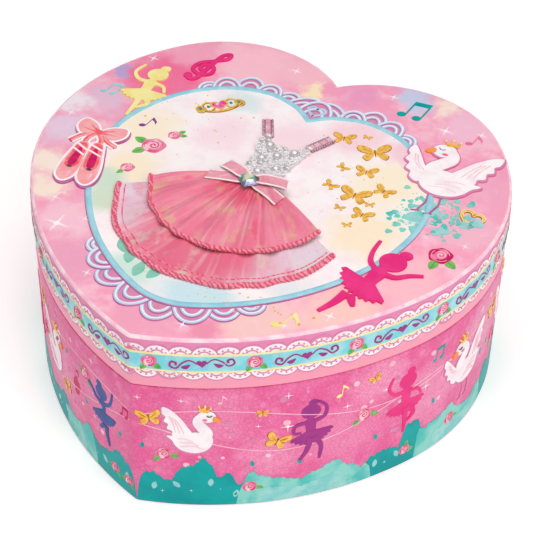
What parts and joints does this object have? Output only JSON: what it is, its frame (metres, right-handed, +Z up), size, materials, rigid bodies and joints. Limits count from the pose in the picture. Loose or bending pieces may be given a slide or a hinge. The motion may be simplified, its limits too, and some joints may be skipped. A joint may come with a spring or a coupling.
{
  "type": "heart-shaped musical jewellery box",
  "caption": "Heart-shaped wind-up music box in printed board, with a hinged mirror lid, a padded net dress on top, lined trays and a turning dancer.",
  "frame": {"origin": "middle of the object's footprint, on the surface it stands on", "axes": "+X to the right, +Y to the back where the lobes and hinges are, +Z up; the heart's tip points to -Y"},
  "size_m": [0.1898, 0.1892, 0.0935],
  "materials": {
    "pink_paper": "printed paper on greyboard",
    "lid_paper": "printed paper on greyboard",
    "rim_paper": "printed paper on greyboard",
    "greyboard": "bare greyboard",
    "lining_paper": "printed lining paper on card",
    "velour": "pink velour",
    "brass_plated": "stamped and brass plated",
    "brass": "turned and stamped brass",
    "steel": "bright steel",
    "cast_zinc": "die-cast zinc alloy",
    "nylon": "moulded nylon",
    "mirror": "silvered glass",
    "tulle_lower": "glittered nylon tulle",
    "tulle_upper": "glittered nylon tulle",
    "organza": "organza ribbon",
    "pearl": "silver and pearl beads",
    "rose_stone": "faceted acrylic in a metal cup",
    "green_stone": "faceted acrylic with a rainbow coating",
    "doll_paint": "painted moulded plastic",
    "doll_net": "nylon net"
  },
  "bodies": {
    "base": {"base_wall": "pink_paper", "bottom_panel": "greyboard", "wall_lining": "lining_paper", "movement_cover": "lining_paper", "divider_left": "lining_paper", "divider_right": "lining_paper", "floor_front": "velour", "floor_left": "velour", "floor_right": "velour", "ring_roll_1": "velour", "ring_roll_2": "velour", "ring_roll_3": "velour", "hinge_base_left": "brass_plated", "hinge_base_right": "brass_plated", "hinge_pin_left": "brass_plated", "hinge_pin_right": "brass_plated", "bedplate": "cast_zinc", "movement_screw_1": "steel", "movement_screw_2": "steel", "movement_screw_3": "steel", "comb": "steel", "bearing_rear": "brass", "bearing_front": "brass", "governor_bracket": "brass", "barrel_bridge": "brass", "click_post": "steel", "stop_guide": "brass"},
    "lid": {"lid_top": "lid_paper", "lid_rim": "rim_paper", "lid_liner": "lining_paper", "mirror": "mirror", "lid_wall_lining": "lining_paper", "hinge_lid_left": "brass_plated", "hinge_lid_right": "brass_plated", "skirt_lower": "tulle_lower", "skirt_upper": "tulle_upper", "bodice": "pearl", "strap_left": "rose_stone", "strap_right": "rose_stone", "bow": "organza", "waist_stone": "green_stone"},
    "key": {"winding_key": "brass_plated", "arbor": "steel", "ratchet_wheel": "steel", "mainspring": "steel"},
    "barrel": {"barrel_drum": "brass", "barrel_cap": "brass", "great_wheel": "brass", "spindle": "steel", "turntable": "brass_plated"},
    "dancer": {"dancer_spring": "steel", "dancer_figure": "doll_paint", "dancer_tutu": "doll_net"},
    "cylinder": {"cylinder": "brass", "cylinder_arbor": "brass"},
    "governor": {"governor_wheel": "nylon"},
    "worm": {"worm": "steel", "fly": "nylon"},
    "click": {"click": "steel"},
    "stop": {"stop_wire": "steel"}
  },
  "joints": [
    {"name": "lid_hinge", "type": "hinge", "parent": "base", "child": "lid", "pos_m": [0, 0.09313, 0.06215], "axis": [-1, 0, 0], "range_deg": [0, 95]},
    {"name": "key_wind", "type": "hinge", "parent": "base", "child": "key", "pos_m": [0, 0.04398, 0.01], "axis": [0, 0, -1], "continuous": true},
    {"name": "barrel_turn", "type": "hinge", "parent": "base", "child": "barrel", "pos_m": [0, 0.04398, 0.03], "axis": [0, 0, 1], "continuous": true},
    {"name": "dancer_sway", "type": "hinge", "parent": "barrel", "child": "dancer", "pos_m": [0, 0.04398, 0.0431], "axis": [1, 0, 0], "range_deg": [-7, 7], "stiffness_Nm_per_rad": 0.01},
    {"name": "cylinder_turn", "type": "hinge", "parent": "base", "child": "cylinder", "pos_m": [0, 0.01898, 0.0283], "axis": [0, 1, 0], "continuous": true},
    {"name": "governor_turn", "type": "hinge", "parent": "base", "child": "governor", "pos_m": [-0.0096, 0.00498, 0.0283], "axis": [0, 1, 0], "continuous": true},
    {"name": "worm_turn", "type": "hinge", "parent": "base", "child": "worm", "pos_m": [-0.0163, 0.00498, 0.0283], "axis": [0, 0, 1], "continuous": true},
    {"name": "click_rock", "type": "hinge", "parent": "base", "child": "click", "pos_m": [-0.00849, 0.05247, 0.0206], "axis": [0, 0, 1], "range_deg": [0, 20], "stiffness_Nm_per_rad": 0.0005},
    {"name": "stop_slide", "type": "slide", "parent": "base", "child": "stop", "axis": [0, 0, 1], "range_m": [0, 0.0015]}
  ],
  "couplings": [
    {"joint": "cylinder_turn", "follows": "barrel_turn", "ratio": -3},
    {"joint": "governor_turn", "follows": "barrel_turn", "ratio": 12.5},
    {"joint": "worm_turn", "follows": "barrel_turn", "ratio": 250},
    {"joint": "stop_slide", "follows": "lid_hinge", "m_per_rad": 0.0009047}
  ]
}
